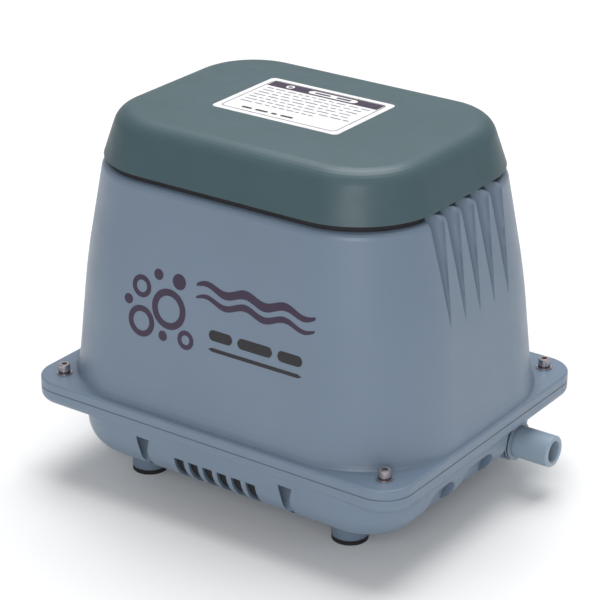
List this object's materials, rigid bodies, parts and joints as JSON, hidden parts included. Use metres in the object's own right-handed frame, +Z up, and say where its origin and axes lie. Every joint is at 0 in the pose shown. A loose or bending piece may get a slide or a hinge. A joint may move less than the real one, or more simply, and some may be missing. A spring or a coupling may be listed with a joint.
{
  "type": "linear diaphragm air pump",
  "caption": "Free-standing pond air pump: cast housing with a bolt flange, lift-off filter cover, rubber feet and a side outlet nozzle, with a linear diaphragm drive inside.",
  "frame": {"origin": "on the ground under the centre of the bounding box", "axes": "+X towards the outlet nozzle, along the long side; +Y to the back; +Z up"},
  "size_m": [0.269, 0.2, 0.2235],
  "materials": {
    "housing_paint": "satin slate blue-grey paint on cast aluminium",
    "cover_plastic": "satin dark teal-grey plastic",
    "nozzle_plastic": "satin grey-green plastic",
    "label_film": "white printed film",
    "black_rubber": "matt black rubber",
    "grey_rubber": "matt dark grey sheet gasket",
    "diaphragm_rubber": "matt moulded rubber",
    "valve_rubber": "matt silicone rubber",
    "stainless": "brushed stainless steel",
    "zinc_steel": "zinc-plated steel",
    "terminal_brass": "plain brass",
    "filter_foam": "open-cell filter foam",
    "black_plastic": "matt black plastic",
    "tank_plastic": "matt dark grey plastic",
    "cast_aluminium": "as-cast aluminium",
    "head_plastic": "matt glass-filled plastic",
    "core_steel": "varnished steel laminations",
    "bobbin_plastic": "matt black plastic",
    "copper_wire": "enamelled copper wire",
    "magnet_ferrite": "dark sintered magnet",
    "white_plastic": "natural white plastic"
  },
  "bodies": {
    "base": {"air_tank": "tank_plastic", "bobbin_front": "bobbin_plastic", "bobbin_rear": "bobbin_plastic", "chamber_left": "head_plastic", "chamber_right": "head_plastic", "clamp_ring_left": "cast_aluminium", "clamp_ring_right": "cast_aluminium", "cord_gland": "black_plastic", "core_front": "core_steel", "core_rear": "core_steel", "core_screws": "zinc_steel", "cover_seal": "black_rubber", "diaphragm_left": "diaphragm_rubber", "diaphragm_right": "diaphragm_rubber", "drive_frame": "cast_aluminium", "elbow_left": "black_rubber", "elbow_right": "black_rubber", "end_cover_left": "head_plastic", "end_cover_right": "head_plastic", "flange_gasket": "grey_rubber", "flat_washers": "stainless", "foot_screws": "zinc_steel", "gland_cap": "black_plastic", "gland_nut": "black_plastic", "head_screws_left": "zinc_steel", "head_screws_right": "zinc_steel", "hose_clamps": "stainless", "housing_screws": "stainless", "intake_grille": "black_plastic", "lower_tub": "housing_paint", "outlet_nozzle": "nozzle_plastic", "outlet_seal": "black_rubber", "rubber_feet": "black_rubber", "spring_washers": "stainless", "stop_switch": "bobbin_plastic", "tank_gasket": "black_rubber", "tank_lid": "tank_plastic", "tank_screws": "zinc_steel", "terminal_block": "white_plastic", "terminal_screws": "terminal_brass", "umbrella_valves_left": "valve_rubber", "umbrella_valves_right": "valve_rubber", "upper_housing": "housing_paint", "valve_plate_left": "head_plastic", "valve_plate_right": "head_plastic", "vent_screen": "black_plastic", "vibration_mounts": "black_rubber", "winding_front": "copper_wire", "winding_rear": "copper_wire"},
    "cover": {"filter_cover": "cover_plastic", "top_label": "label_film"},
    "filter": {"air_filter": "filter_foam"},
    "armature": {"armature_rod": "stainless", "magnet_carrier": "cast_aluminium", "magnets": "magnet_ferrite", "centre_plates": "cast_aluminium", "rod_nuts": "zinc_steel"},
    "stop_lever": {"stop_lever": "white_plastic"}
  },
  "joints": [
    {"name": "cover_lift", "type": "slide", "parent": "base", "child": "cover", "axis": [0, 0, 1], "range_m": [0, 0.12]},
    {"name": "filter_lift", "type": "slide", "parent": "base", "child": "filter", "axis": [0, 0, 1], "range_m": [0, 0.06]},
    {"name": "armature_stroke", "type": "slide", "parent": "base", "child": "armature", "axis": [1, 0, 0], "range_m": [-0.0025, 0.0025], "stiffness_N_per_m": 6000, "deforming": ["diaphragm_left", "diaphragm_right"]},
    {"name": "stop_lever_trip", "type": "hinge", "parent": "base", "child": "stop_lever", "pos_m": [0.0322, 0.034, 0.12], "axis": [0, 0, 1], "range_deg": [-5, 5]}
  ],
  "couplings": [
    {"joint": "filter_lift", "follows": "cover_lift", "ratio": 0.5}
  ]
}
